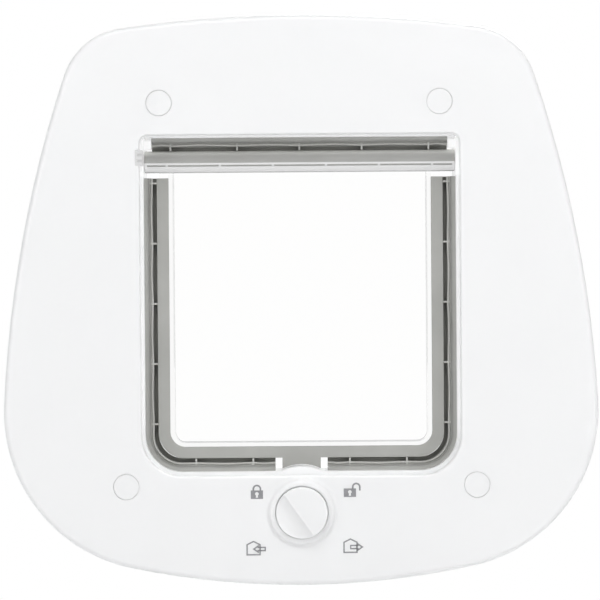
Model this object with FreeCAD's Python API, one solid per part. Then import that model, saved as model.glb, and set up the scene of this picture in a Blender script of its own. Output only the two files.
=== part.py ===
import FreeCAD, Part
import math
import os

# Four-way cat flap for a round cut-out in a glass panel. Millimetres.
# X runs to the right as seen from indoors, Z up, and Y from indoors to outdoors.
# The origin is the centre of the round cut-out, on the panel's indoor surface.

# Panel and cut-out
panel_thickness = 20.0
cutout_r = 121.0
cutout_clearance = 1.0

# Faceplate outline, about the plate's own centre
plate_centre_z = 3.8
plate_top_lap = 8.5
plate_bottom_lap = 8.5
top_arc_r = 592.6
bottom_arc_r = 370.9
side_arc_r = 562.2
side_lap = 14.8
side_drop = 76.1
upper_corner_r = 31.9
lower_corner_r = 72.5
plate_depth = 12.0
plate_wall = 2.5
plate_edge_r = 2.6

# Tunnel through the panel
tunnel_half_width = 71.3
tunnel_top = 78.2
tunnel_floor = -74.5
tunnel_corner_r = 17.0
tunnel_top_corner_r = 3.0
tunnel_wall = 2.0
tunnel_split_back = 0.5

# Wider mouth in front of the tunnel, down to a ledge
mouth_side = 1.4
mouth_roof = 0.9
mouth_floor = 1.6
mouth_fillet = 0.9
ledge_lead = 5.0
ledge_thickness = 1.5

# Round collar, gasket seat and ribs behind each plate
collar_wall = 2.0
collar_depth = 9.0
seat_width = 3.0
gasket_thickness = 3.0
rib_wall = 1.6
rib_height = 5.2
rib_columns = (-36.0, 36.0)
rib_rows = (-40.0, 0.0, 40.0)
lock_room_half_width = 32.0

# Frame screws and their caps
screw_inset = 7.8
upper_screw_angle = 34.2
lower_screw_angle = 44.7
screw_r = 2.0
screw_length = 29.0
screw_head_r = 4.0
screw_head_height = 2.6
screw_head_play = 0.3
screw_play = 0.2
thread_play = 0.05
cross_half_length = 2.2
cross_half_width = 0.4
cross_depth = 1.2
cap_r = 5.8
cap_edge_r = 0.3
cap_seat_depth = 0.05
cap_thickness = 1.6
cap_stem_r = 3.4
cap_stem_length = 1.6
socket_depth = 8.5
socket_wall = 1.5
boss_overlap = 0.4
tower_r = 4.5
fit = 0.1
press_fit = 0.01

# Hinge
flap_y = 8.0
hinge_drop = 10.8
bar_r = 5.0
bar_end_gap = 0.25
top_seal_thickness = 1.0
top_seal_drop = 0.6
pin_r = 1.5
pin_length = 11.0
pin_in_bar = 5.5
pin_chamfer = 0.3
running_gap = 0.05
bar_slot_drop = 1.5
bar_slot_height = 0.7
bar_rib_thickness = 0.5
bar_bridge_pitch = 24.3
bar_bridge_width = 1.2

# Bearing blocks in the tunnel walls
bearing_width = 6.0
bearing_below_hinge = 6.8
bearing_top_gap = 0.2
nub_reach = 3.4
nub_above_hinge = 5.8
nub_top_gap = 1.2
nub_lead = 0.4

# Three-pronged key in the left wall
key_width = 3.1
key_below_hinge = 2.0
key_above_hinge = 5.0
key_recess = 0.4
key_back = 0.8
key_housing_wall = 1.5
prong_gap = 1.3
prong_depth = 3.6

# Clear flap
flap_side_gap = 6.9
flap_floor_gap = 7.0
flap_corner_r = 10.8
flap_thickness = 2.0
window_side_inset = 6.6
window_bottom_inset = 6.4
window_corner_r = 4.6
window_rim_width = 2.5
window_rim_height = 0.8
window_rim_chamfer = 0.6

# Rubber border and its tab
border_wall = 1.2
border_flange = 1.0
seal_end_drop = 7.4
tab_half_width = 8.8
tab_gap = 0.6
tab_foot = 0.5
magnet_half_length = 6.5
magnet_height = 2.6
magnet_thickness = 2.4
magnet_cover = 0.1
magnet_skin = 1.2

# Double-lip strips on the tunnel walls
strip_depth = 10.0
strip_base = 1.2
strip_end_x = 12.0
strip_nub_gap = 0.1
side_front_reach = 3.95
side_rear_reach = 5.4
top_front_reach = 3.9
top_rear_reach = 5.8
strip_foot = 0.5
strip_groove_rise = 0.6
lip_slope = 2.4
lip_thickness = 0.9
web_wall = 0.8
side_web_first_drop = 2.3
side_web_pitch = 27.65
side_web_count = 5
bottom_web_end_gap = 10.2
bottom_web_corner_gap = 5.9
top_web_pitch = 28.6
top_web_end_gap = 8.6

# Lock under the tunnel floor
lock_drop = 17.9
hump_r = 20.1
hump_front = -3.0
disc_r = 16.5
disc_thickness = 3.2
disc_gap = 0.6
slot_gap = 0.3
lobe_r = 23.6
lobe_half_width = 5.0
lobe_clearance = 1.2
front_lobe_angles = (0.0, 180.0)
rear_lobe_angles = (0.0, 270.0)
spindle_r = 3.0
spindle_tail = 2.6
hub_r = 5.0
knob_r = 11.7
knob_height = 6.4
knob_seat_gap = 0.3
knob_edge_r = 0.8
grip_angle = -54.5
grip_offset = 1.6
grip_scoop_r = 9.0
grip_scoop_depth = 2.8
ring_crest_r = 13.3
ring_foot_r = 16.4
ring_height = 2.2
ring_gap = 0.25
ring_edge = 0.3
wheel_r = 8.0
wheel_thickness = 3.5
wheel_front = -8.2
notch_r = 1.5
notch_centre_r = 8.3
nub_r = 1.2
leaf_thickness = 0.6
leaf_centre_drop = 8.9
leaf_post_x = 13.5
leaf_post_r = 1.5
cover_thickness = 1.8
cover_post_r = 2.8
cover_pilot_r = 1.2
cover_posts = ((-27.5, 10.4), (27.5, 10.4), (-20.5, -18.1), (20.5, -18.1))
cover_corners = ((-31.0, 13.9), (31.0, 13.9), (24.0, -21.6), (-24.0, -21.6))
cover_corner_r = 3.0
cover_screw_play = 0.3
cover_screw_head_r = 2.5
cover_screw_head = 1.6
cover_screw_length = 9.0
cover_screw_slot_depth = 0.7
cover_screw_slot_half_width = 0.4
clip_wall = 2.0
clip_thickness = 0.8
clip_depth = 0.5
clip_end_play = 0.1
clip_mouth_half_width = 1.6
frame_magnet_half_length = 6.0
frame_magnet_height = 2.5
frame_magnet_depth = 5.0
frame_magnet_skin = 1.4

# Places worked out from the sizes above
plate_top = cutout_r + plate_top_lap
plate_bottom = cutout_r + plate_bottom_lap
side_reach = cutout_r + side_lap
screw_circle_r = cutout_r - screw_inset
collar_r = cutout_r - cutout_clearance
seat_r = collar_r + seat_width
plate_front = -plate_depth
inner_skin = plate_front + plate_wall
outer_front = panel_thickness + plate_depth
outer_skin = outer_front - plate_wall
strip_front = flap_y - strip_depth / 2
strip_rear = flap_y + strip_depth / 2
tunnel_split = panel_thickness - tunnel_split_back
ledge_front = strip_front - ledge_lead
ledge_rear = ledge_front + ledge_thickness
hinge_z = tunnel_top - hinge_drop
seal_end_z = hinge_z - seal_end_drop
bar_half_length = tunnel_half_width - bar_end_gap
flap_half_width = tunnel_half_width - flap_side_gap
flap_bottom = tunnel_floor + flap_floor_gap
window_half_width = flap_half_width - window_side_inset
window_bottom = flap_bottom + window_bottom_inset
magnet_top = flap_bottom - magnet_cover
side_web_first = seal_end_z - side_web_first_drop
top_strip_half_length = tunnel_half_width - nub_reach - strip_nub_gap
top_web_far = top_strip_half_length - top_web_end_gap
top_web_places = (-top_web_far, -top_web_pitch, 0.0, top_web_pitch, top_web_far)
bottom_web_far = tunnel_half_width - tunnel_corner_r - bottom_web_corner_gap
bottom_web_places = (strip_end_x + bottom_web_end_gap, bottom_web_far)
lock_z = tunnel_floor - lock_drop
bearing_front = ledge_front
bearing_bottom = hinge_z - bearing_below_hinge
bearing_top = tunnel_top - bearing_top_gap
key_bottom = hinge_z - key_below_hinge
key_top = hinge_z + key_above_hinge
front_disc_rear = strip_front - disc_gap
front_disc_front = front_disc_rear - disc_thickness
rear_disc_front = strip_rear + disc_gap
rear_disc_rear = rear_disc_front + disc_thickness
cover_front = rear_disc_rear + slot_gap
cover_rear = cover_front + cover_thickness
spindle_rear = cover_rear + clip_thickness + spindle_tail
socket_r = cap_r + fit
boss_r = socket_r + socket_wall
boss_rear = plate_front + socket_depth + boss_overlap
head_seat = plate_front + cap_thickness + cap_stem_length + screw_head_height
knob_front = plate_front - knob_height
border_half_thickness = flap_thickness / 2 + border_flange


def at(x, y, z):
    return FreeCAD.Vector(x, y, z)


def cylinder_y(radius, y_start, y_end, x, z):
    """A cylinder along Y."""
    return Part.makeCylinder(radius, y_end - y_start, at(x, y_start, z), at(0, 1, 0))


def cylinder_x(radius, x_start, x_end, y, z):
    """A cylinder along X."""
    return Part.makeCylinder(radius, x_end - x_start, at(x_start, y, z), at(1, 0, 0))


def block(x_start, x_end, y_start, y_end, z_start, z_end):
    """A box given by its limits."""
    corner = at(x_start, y_start, z_start)
    return Part.makeBox(x_end - x_start, y_end - y_start, z_end - z_start, corner)


def join(shapes):
    """One shape fused from several, with flush faces merged."""
    return shapes[0].multiFuse(shapes[1:]).removeSplitter()


def mirrored(shape):
    """The left-hand shape's right-hand partner."""
    return shape.mirror(at(0, 0, 0), at(1, 0, 0))


def prism(wire, y_start, y_end):
    """A closed wire filled and extruded along Y."""
    solid = Part.Face(wire).extrude(at(0, y_end - y_start, 0))
    return solid


def rounded_wire(corners, y):
    """A closed wire through corners (x, z, radius), each rounded by its own radius."""
    edges = []
    joints = []
    count = len(corners)
    for index in range(count):
        x, z, radius = corners[index]
        here = at(x, y, z)
        before = at(corners[index - 1][0], y, corners[index - 1][1]) - here
        after_corner = corners[(index + 1) % count]
        after = at(after_corner[0], y, after_corner[1]) - here
        before.normalize()
        after.normalize()
        if radius <= 0:
            joints.append((here, here))
            continue
        half_angle = before.getAngle(after) / 2
        start = here + before * (radius / math.tan(half_angle))
        end = here + after * (radius / math.tan(half_angle))
        middle_way = before + after
        middle_way.normalize()
        middle = here + middle_way * (radius / math.sin(half_angle) - radius)
        edges.append(Part.Arc(start, middle, end).toShape())
        joints.append((start, end))
    for index in range(count):
        start = joints[index][1]
        end = joints[(index + 1) % count][0]
        if start.distanceToPoint(end) > 1e-6:
            edges.append(Part.LineSegment(start, end).toShape())
    return Part.Wire(Part.__sortEdges__(edges))


def corner_centre(first, first_r, second, second_r, corner_r, upper):
    """The centre of a corner circle that runs into two large arcs from inside."""
    gap_x = second[0] - first[0]
    gap_z = second[1] - first[1]
    distance = math.hypot(gap_x, gap_z)
    first_reach = first_r - corner_r
    second_reach = second_r - corner_r
    along = (distance ** 2 + first_reach ** 2 - second_reach ** 2) / (2 * distance)
    across = math.sqrt(first_reach ** 2 - along ** 2)
    foot = (first[0] + along * gap_x / distance, first[1] + along * gap_z / distance)
    options = []
    for side in (-1, 1):
        x = foot[0] - side * across * gap_z / distance
        z = foot[1] + side * across * gap_x / distance
        options.append((x, z))
    options.sort(key=lambda place: place[1] if upper else -place[1])
    return options[-1]


def arc_between(centre, radius, start, end, y):
    """The arc about centre from the direction of start to the direction of end."""
    start_way = at(start[0] - centre[0], 0, start[1] - centre[1]).normalize()
    end_way = at(end[0] - centre[0], 0, end[1] - centre[1]).normalize()
    middle_way = (start_way + end_way).normalize()
    hub = at(centre[0], y, centre[1])
    points = [hub + way * radius for way in (start_way, middle_way, end_way)]
    return Part.Arc(points[0], points[1], points[2]).toShape()


def touch(big_centre, big_r, small_centre):
    """Where the line from a large arc's centre through a corner's centre meets the arc."""
    way = at(small_centre[0] - big_centre[0], 0, small_centre[1] - big_centre[1]).normalize()
    return (big_centre[0] + way.x * big_r, big_centre[1] + way.z * big_r)


def flipped(place):
    return (-place[0], place[1])


def plate_wire(inset, y):
    """The faceplate's outline, moved inwards by inset."""
    top = (0.0, plate_centre_z + plate_top - top_arc_r)
    bottom = (0.0, plate_centre_z - plate_bottom + bottom_arc_r)
    side = (side_reach - side_arc_r, plate_centre_z - side_drop)
    upper = corner_centre(top, top_arc_r, side, side_arc_r, upper_corner_r, True)
    lower = corner_centre(side, side_arc_r, bottom, bottom_arc_r, lower_corner_r, False)
    top_end = touch(top, top_arc_r, upper)
    side_start = touch(side, side_arc_r, upper)
    side_end = touch(side, side_arc_r, lower)
    bottom_end = touch(bottom, bottom_arc_r, lower)
    edges = [arc_between(top, top_arc_r - inset, flipped(top_end), top_end, y)]
    edges.append(arc_between(upper, upper_corner_r - inset, top_end, side_start, y))
    edges.append(arc_between(side, side_arc_r - inset, side_start, side_end, y))
    edges.append(arc_between(lower, lower_corner_r - inset, side_end, bottom_end, y))
    edges.append(arc_between(bottom, bottom_arc_r - inset, bottom_end, flipped(bottom_end), y))
    for edge in edges[3:0:-1]:
        edges.append(edge.mirror(at(0, 0, 0), at(1, 0, 0)))
    return Part.Wire(Part.__sortEdges__(edges))


def tunnel_prism(outset, y_start, y_end):
    """The tunnel's rounded section, grown outwards by outset."""
    right = tunnel_half_width + outset
    top = tunnel_top + outset
    bottom = tunnel_floor - outset
    top_r = tunnel_top_corner_r + outset
    bottom_r = tunnel_corner_r + outset
    corners = [(-right, top, top_r), (right, top, top_r)]
    corners += [(right, bottom, bottom_r), (-right, bottom, bottom_r)]
    return prism(rounded_wire(corners, y_start), y_start, y_end)


def mouth_prism(outset, y_start, y_end):
    """The wider mouth's rounded section, grown outwards by outset."""
    right = tunnel_half_width + mouth_side + outset
    top = tunnel_top + mouth_roof + outset
    bottom = tunnel_floor - mouth_floor - outset
    top_r = tunnel_top_corner_r + mouth_roof + outset
    bottom_r = tunnel_corner_r + mouth_side + outset
    corners = [(-right, top, top_r), (right, top, top_r)]
    corners += [(right, bottom, bottom_r), (-right, bottom, bottom_r)]
    return prism(rounded_wire(corners, y_start), y_start, y_end)


def ring_y(outer_r, inner_r, y_start, y_end):
    """A ring about the cut-out's axis."""
    return cylinder_y(outer_r, y_start, y_end, 0, 0).cut(cylinder_y(inner_r, y_start, y_end, 0, 0))


def screw_places():
    """The four screws: upper left, upper right, lower left, lower right."""
    places = []
    for angle, side in ((upper_screw_angle, 1), (lower_screw_angle, -1)):
        x = screw_circle_r * math.sin(math.radians(angle))
        z = side * screw_circle_r * math.cos(math.radians(angle))
        places.append((-x, z))
        places.append((x, z))
    return places


def front_edges(shape, y):
    """The edges that lie wholly in the plane at y."""
    return [edge for edge in shape.Edges
            if abs(edge.BoundBox.YMin - y) < 1e-4 and abs(edge.BoundBox.YMax - y) < 1e-4]


def plate_shell(panel_y, outward):
    """A hollow faceplate that stands out from the panel at panel_y, with its seat and ribs."""
    face_y = panel_y + outward * plate_depth
    skin_y = face_y - outward * plate_wall
    body = prism(plate_wire(0, panel_y), panel_y, face_y)
    body = body.makeFillet(plate_edge_r, front_edges(body, face_y))
    hollow = prism(plate_wire(plate_wall, panel_y), panel_y, skin_y)
    body = body.cut(hollow)
    seat_y = panel_y + outward * gasket_thickness
    rib_y = skin_y - outward * rib_height
    low, high = sorted((skin_y, rib_y))
    ribs = []
    for x in rib_columns:
        ribs.append(block(x - rib_wall / 2, x + rib_wall / 2, low, high, plate_centre_z - plate_bottom,
                          plate_centre_z + plate_top))
    for z in rib_rows:
        ribs.append(block(-side_reach, side_reach, low, high, z - rib_wall / 2, z + rib_wall / 2))
    rib_grid = join(ribs).common(hollow)
    keep_out = tunnel_prism(tunnel_wall / 2, low - 1, high + 1)
    lock_room = block(-lock_room_half_width, lock_room_half_width, low - 1, high + 1,
                      plate_centre_z - plate_bottom, tunnel_floor - tunnel_wall / 2)
    rib_grid = rib_grid.cut(keep_out).cut(lock_room)
    low, high = sorted((skin_y, seat_y))
    seat = ring_y(seat_r, collar_r - collar_wall, low, high).common(hollow)
    low, high = sorted((skin_y, panel_y - outward * collar_depth))
    collar = ring_y(collar_r, collar_r - collar_wall, low, high)
    return join([body, seat, collar, rib_grid])


def lock_slots():
    """The two slots in floor and hump that the stop discs' lobes rise through."""
    slots = []
    for front, rear in ((front_disc_front, front_disc_rear), (rear_disc_front, rear_disc_rear)):
        slots.append(cylinder_y(lobe_r + lobe_clearance, front - slot_gap, rear + slot_gap, 0, lock_z))
    return slots


def knob_ring():
    """The raised ring round the knob, whose outer flank runs smoothly into the plate."""
    inner = knob_r + ring_gap
    rim_y = plate_front - ring_height
    section = [at(inner, inner_skin - 1, 0), at(inner, rim_y + ring_edge, 0)]
    section += [at(inner + ring_edge, rim_y, 0), at(ring_crest_r, rim_y, 0)]
    edges = [Part.LineSegment(a, b).toShape() for a, b in zip(section, section[1:])]
    flank = ring_foot_r - ring_crest_r
    bend_r = (flank ** 2 + ring_height ** 2) / (4 * ring_height)
    half_turn = math.atan(ring_height / flank)
    along = bend_r * math.sin(half_turn)
    sink = bend_r * (1 - math.cos(half_turn))
    middle = at(ring_crest_r + flank / 2, plate_front - ring_height / 2, 0)
    foot_end = at(ring_foot_r, plate_front, 0)
    edges.append(Part.Arc(section[-1], at(ring_crest_r + along, rim_y + sink, 0), middle).toShape())
    edges.append(Part.Arc(middle, at(ring_foot_r - along, plate_front - sink, 0), foot_end).toShape())
    foot = [foot_end, at(ring_foot_r, inner_skin - 1, 0), section[0]]
    edges += [Part.LineSegment(a, b).toShape() for a, b in zip(foot, foot[1:])]
    ring = Part.Face(Part.Wire(edges)).revolve(at(0, 0, 0), at(0, 1, 0), 360)
    ring.translate(at(0, 0, lock_z))
    return ring


def inner_frame():
    """The indoor faceplate with tunnel, screw bosses, hump and lock posts."""
    parts = [plate_shell(0.0, -1)]
    parts.append(tunnel_prism(tunnel_wall, ledge_front, tunnel_split))
    parts.append(mouth_prism(tunnel_wall, inner_skin - 1, ledge_rear))
    parts.append(key_body(key_housing_wall, inner_skin - 1))
    for x, z in screw_places():
        parts.append(cylinder_y(boss_r, inner_skin - 1, boss_rear, x, z))
    parts.append(knob_ring())
    for x, z in cover_posts:
        parts.append(cylinder_y(cover_post_r, inner_skin - 1, cover_front, x, lock_z + z))
    for x in (-leaf_post_x, leaf_post_x):
        parts.append(cylinder_y(leaf_post_r, inner_skin - 1, wheel_front + wheel_thickness, x,
                                lock_z - leaf_centre_drop))
    frame = join(parts)
    frame = frame.cut(tunnel_prism(0, plate_front - 1, tunnel_split + 1))
    frame = frame.cut(mouth_prism(0, plate_front - 1, ledge_front))
    frame = frame.makeFillet(mouth_fillet, mouth_edges(frame))
    floor_side = block(-hump_r, hump_r, hump_front, tunnel_split,
                       tunnel_floor - mouth_floor - tunnel_wall / 2, 0)
    hump = cylinder_y(hump_r, hump_front, tunnel_split, 0, lock_z).common(floor_side)
    frame = join([frame, hump])
    cuts = lock_slots()
    cuts.append(frame_magnet_room(fit))
    cuts.append(cylinder_y(hub_r + running_gap, plate_front - 1, inner_skin + 1, 0, lock_z))
    for x, z in screw_places():
        seat_y = plate_front + cap_thickness + cap_seat_depth
        cuts.append(cylinder_y(socket_r, plate_front - 1, seat_y, x, z))
        cuts.append(cylinder_y(screw_head_r + screw_head_play, plate_front, head_seat, x, z))
        cuts.append(cylinder_y(screw_r + screw_play, plate_front, boss_rear + 1, x, z))
    for x, z in cover_posts:
        cuts.append(cylinder_y(cover_pilot_r, cover_front - cover_screw_length, cover_front + 1, x,
                               lock_z + z))
    cuts.append(bearing_room(-1))
    cuts.append(bearing_room(1))
    cuts.append(key_body(fit, plate_front - 1))
    return frame.cut(join(cuts))


def mouth_edges(frame):
    """The edges of the tunnel's mouth in the front face."""
    edges = []
    for edge in front_edges(frame, plate_front):
        box = edge.BoundBox
        inside = max(abs(box.XMin), abs(box.XMax)) < tunnel_half_width + mouth_side + fit
        if inside and box.ZMin > tunnel_floor - mouth_floor - fit:
            edges.append(edge)
    return edges


def outer_frame():
    """The outdoor faceplate with its tunnel and the towers that the screws bite into."""
    parts = [plate_shell(panel_thickness, 1)]
    parts.append(tunnel_prism(tunnel_wall, tunnel_split, outer_skin + 1))
    for x, z in screw_places():
        parts.append(cylinder_y(tower_r, boss_rear, outer_skin + 1, x, z))
    frame = join(parts)
    frame = frame.cut(tunnel_prism(0, tunnel_split - 1, outer_front + 1))
    cuts = []
    for x, z in screw_places():
        cuts.append(cylinder_y(screw_r + thread_play, boss_rear - 1, head_seat + screw_length + 1, x, z))
    frame = frame.cut(join(cuts))
    edges = []
    for edge in front_edges(frame, outer_front):
        box = edge.BoundBox
        if max(abs(box.XMin), abs(box.XMax)) < tunnel_half_width + fit:
            edges.append(edge)
    return frame.makeFillet(mouth_fillet, edges)


def gasket(panel_y, outward):
    """A foam ring between the seat and the panel, inside the plate's edge."""
    low, high = sorted((panel_y, panel_y + outward * gasket_thickness))
    inside = prism(plate_wire(plate_wall + fit, low), low, high)
    return ring_y(seat_r, collar_r + fit, low, high).common(inside)


def frame_screws():
    """Four countersunk-free machine screws with a cross recess, from indoors into the towers."""
    screws = []
    for x, z in screw_places():
        head = cylinder_y(screw_head_r, head_seat - screw_head_height, head_seat, x, z)
        shank = cylinder_y(screw_r, head_seat, head_seat + screw_length, x, z)
        recess_y = head_seat - screw_head_height
        floor_y = recess_y + cross_depth
        cross = block(x - cross_half_length, x + cross_half_length, recess_y, floor_y,
                      z - cross_half_width, z + cross_half_width)
        cross = cross.fuse(block(x - cross_half_width, x + cross_half_width, recess_y, floor_y,
                                 z - cross_half_length, z + cross_half_length))
        screws.append(join([head, shank]).cut(cross))
    return Part.makeCompound(screws)


def screw_cap(x, z):
    """A flush round cap with a short stem that stands on the screw's head."""
    disc = cylinder_y(cap_r, plate_front, plate_front + cap_thickness, x, z)
    disc = disc.makeFillet(cap_edge_r, front_edges(disc, plate_front))
    stem = cylinder_y(cap_stem_r, plate_front + cap_thickness,
                      plate_front + cap_thickness + cap_stem_length, x, z)
    return join([disc, stem])


def bearing_room(side):
    """The opening in a tunnel wall that a bearing block slides into from behind."""
    inner = tunnel_half_width - 1
    outer = tunnel_half_width + bearing_width + 1
    low, high = sorted((side * inner, side * outer))
    return block(low, high, bearing_front - fit, tunnel_split + 1, bearing_bottom - fit, bearing_top + fit)


def bearing_block(side):
    """A block that carries one hinge pin, with a nub in the tunnel's top corner."""
    inner = tunnel_half_width
    body = block(inner, inner + bearing_width, bearing_front, tunnel_split, bearing_bottom, bearing_top)
    nub_front = strip_front + nub_lead
    nub_rear = 2 * flap_y - nub_front
    nub = block(inner - nub_reach, inner, nub_front, nub_rear, hinge_z + nub_above_hinge,
                tunnel_top - nub_top_gap)
    shape = join([body, nub])
    pin_end = bar_half_length - pin_in_bar + pin_length
    shape = shape.cut(cylinder_x(pin_r + running_gap, inner - 1, pin_end + fit, flap_y, hinge_z))
    if side < 0:
        shape = mirrored(shape)
    return shape


def key_body(clearance, front):
    """The retaining key's envelope, grown by a clearance."""
    inner = -tunnel_half_width + clearance
    outer = -tunnel_half_width - key_width - clearance
    return block(outer, inner, front, bearing_front, key_bottom - clearance, key_top + clearance)


def hinge_retainer():
    """The key with three prongs at its front end."""
    key = key_body(0, plate_front + key_recess)
    middle = (key_bottom + key_top) / 2
    gap_centre = (key_top - key_bottom - 2 * prong_gap) / 6 + prong_gap / 2
    cuts = []
    for side in (-1, 1):
        z = middle + side * gap_centre
        front = plate_front + key_recess - 1
        cuts.append(block(-tunnel_half_width - key_width + key_back, -tunnel_half_width + 1, front,
                          front + 1 + prong_depth, z - prong_gap / 2, z + prong_gap / 2))
    return key.cut(join(cuts))


def hinge_pin(side):
    """A steel pin in the end of the hinge bar."""
    start = bar_half_length - pin_in_bar
    pin = cylinder_x(pin_r, start, start + pin_length, flap_y, hinge_z)
    pin = pin.makeChamfer(pin_chamfer, [edge for edge in pin.Edges if edge.Closed])
    if side < 0:
        pin = mirrored(pin)
    return pin


def sleeve(outer_r, inner_r, bottom):
    """The upper part of a tube about the hinge axis, down to bottom."""
    tube = cylinder_x(outer_r, -bar_half_length, bar_half_length, flap_y, hinge_z)
    tube = tube.cut(cylinder_x(inner_r, -bar_half_length, bar_half_length, flap_y, hinge_z))
    upper = block(-bar_half_length, bar_half_length, flap_y - outer_r - 1, flap_y + outer_r + 1,
                  bottom, hinge_z + outer_r + 1)
    return tube.common(upper)


def flap_top_seal():
    """The rubber band let into the hinge bar, with a thinner skirt under the bar's two ribs."""
    band = sleeve(bar_r, bar_r - top_seal_thickness, hinge_z - top_seal_drop)
    skirt_bottom = hinge_z - bar_slot_drop - bar_slot_height
    skirt = sleeve(bar_r - bar_rib_thickness, bar_r - top_seal_thickness, skirt_bottom)
    return join([band, skirt])


def bar_slots():
    """Slots below the ribs where the rubber shows, bridged at a regular pitch and at the ends."""
    top = hinge_z - bar_slot_drop
    wall = cylinder_x(bar_r + 1, -bar_half_length, bar_half_length, flap_y, hinge_z)
    wall = wall.cut(cylinder_x(bar_r - bar_rib_thickness, -bar_half_length, bar_half_length, flap_y, hinge_z))
    count = int(bar_half_length / bar_bridge_pitch - 0.5)
    bridges = [(index + 0.5) * bar_bridge_pitch for index in range(-count - 1, count + 1)]
    ends = [-bar_half_length + bar_bridge_width / 2] + bridges + [bar_half_length - bar_bridge_width / 2]
    slots = []
    for start, end in zip(ends, ends[1:]):
        slots.append(block(start + bar_bridge_width / 2, end - bar_bridge_width / 2,
                           flap_y - bar_r - 1, flap_y + bar_r + 1, top - bar_slot_height, top))
    return wall.common(join(slots))


def flap_plate(outset, half_thickness):
    """The flap's flat panel below the hinge, grown outwards by outset."""
    right = flap_half_width + outset
    bottom = flap_bottom - outset
    corner = flap_corner_r + outset
    corners = [(-right, hinge_z, 0), (right, hinge_z, 0), (right, bottom, corner), (-right, bottom, corner)]
    y_start = flap_y - half_thickness
    return prism(rounded_wire(corners, y_start), y_start, flap_y + half_thickness)


def window_prism(outset, half_thickness):
    """The window's outline below the hinge, grown outwards by outset."""
    right = window_half_width + outset
    bottom = window_bottom - outset
    corner = window_corner_r + outset
    corners = [(-right, hinge_z, 0), (right, hinge_z, 0), (right, bottom, corner), (-right, bottom, corner)]
    y_start = flap_y - half_thickness
    return prism(rounded_wire(corners, y_start), y_start, flap_y + half_thickness)


def window_edges(rim, y):
    """The rim's edges round the window in the plane at y."""
    return [edge for edge in front_edges(rim, y)
            if max(-edge.BoundBox.XMin, edge.BoundBox.XMax) < window_half_width + 0.01
            and edge.BoundBox.ZMin > window_bottom - 0.01]


def flap_panel():
    """The clear moulding: panel, raised rim round the window, and hinge bar."""
    panel = flap_plate(0, flap_thickness / 2)
    rim_half = flap_thickness / 2 + window_rim_height
    rim = window_prism(window_rim_width, rim_half).cut(window_prism(0, rim_half))
    rim = rim.makeChamfer(window_rim_chamfer, window_edges(rim, flap_y - rim_half)
                          + window_edges(rim, flap_y + rim_half))
    bar = cylinder_x(bar_r, -bar_half_length, bar_half_length, flap_y, hinge_z)
    solid = join([panel, rim, bar])
    cuts = [sleeve(bar_r + 1, bar_r - top_seal_thickness, hinge_z - top_seal_drop)]
    cuts.append(flap_top_seal())
    cuts.append(bar_slots())
    for side in (-1, 1):
        low, high = sorted((side * (bar_half_length - pin_in_bar - fit), side * (bar_half_length + 1)))
        cuts.append(cylinder_x(pin_r + press_fit, low, high, flap_y, hinge_z))
    return solid.cut(join(cuts))


def tab_arc_r():
    """The radius of the tab's hollow lower edge, which clears the hump."""
    return hump_r + tab_gap


def flap_border_seal():
    """The rubber border that grips the flap's edge, with the tab over the hump."""
    outside = flap_plate(border_wall, border_half_thickness)
    inside = window_prism(window_rim_width, border_half_thickness + 1)
    border = outside.cut(inside)
    border = border.cut(block(-side_reach, side_reach, flap_y - bar_r - 2, flap_y + bar_r + 2,
                              seal_end_z, hinge_z + bar_r))
    tab_bottom = lock_z + math.sqrt(tab_arc_r() ** 2 - tab_half_width ** 2) - tab_foot
    tab = block(-tab_half_width, tab_half_width, flap_y - border_half_thickness,
                flap_y + border_half_thickness, tab_bottom, flap_bottom)
    tab = tab.cut(cylinder_y(tab_arc_r(), flap_y - bar_r, flap_y + bar_r, 0, lock_z))
    border = join([border, tab])
    return border.cut(flap_plate(0, flap_thickness / 2)).cut(flap_magnet_room())


def flap_magnet_room():
    """The tab's pocket, open at the back."""
    front = flap_y - border_half_thickness + magnet_skin
    return block(-magnet_half_length, magnet_half_length, front, flap_y + border_half_thickness + 1,
                 magnet_top - magnet_height, magnet_top)


def flap_magnet():
    """The bar magnet in the tab's pocket."""
    front = flap_y - border_half_thickness + magnet_skin
    return block(-magnet_half_length, magnet_half_length, front, front + magnet_thickness,
                 magnet_top - magnet_height, magnet_top)


def frame_magnet_room(clearance):
    """The pocket under the hump, open below."""
    top = lock_z + hump_r - frame_magnet_skin
    half = frame_magnet_half_length + clearance
    depth = frame_magnet_depth / 2 + clearance
    return block(-half, half, flap_y - depth, flap_y + depth, top - frame_magnet_height - 1, top)


def frame_magnet():
    """The bar magnet under the hump's crest."""
    top = lock_z + hump_r - frame_magnet_skin
    return block(-frame_magnet_half_length, frame_magnet_half_length, flap_y - frame_magnet_depth / 2,
                 flap_y + frame_magnet_depth / 2, top - frame_magnet_height, top)


def lip_section(front_reach, rear_reach):
    """The strip's section as (distance from the wall, y): a base with two lips that lean together."""
    groove = strip_front + lip_thickness + strip_groove_rise
    points = [(0.0, strip_front), (strip_foot, strip_front), (front_reach, strip_front + lip_slope)]
    points.append((front_reach, strip_front + lip_slope + lip_thickness))
    points.append((strip_base, groove))
    points.append((strip_base, 2 * flap_y - groove))
    points.append((rear_reach, strip_rear - lip_slope - lip_thickness))
    points.append((rear_reach, strip_rear - lip_slope))
    points += [(strip_foot, strip_rear), (0.0, strip_rear)]
    return points


def filled(points):
    """A flat face through a closed run of points."""
    return Part.Face(Part.makePolygon(points + [points[0]]))


def strip_web_depth():
    """The limits along y of the webs that tie the two lips."""
    front = strip_front + lip_slope
    return front, 2 * flap_y - front


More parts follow.
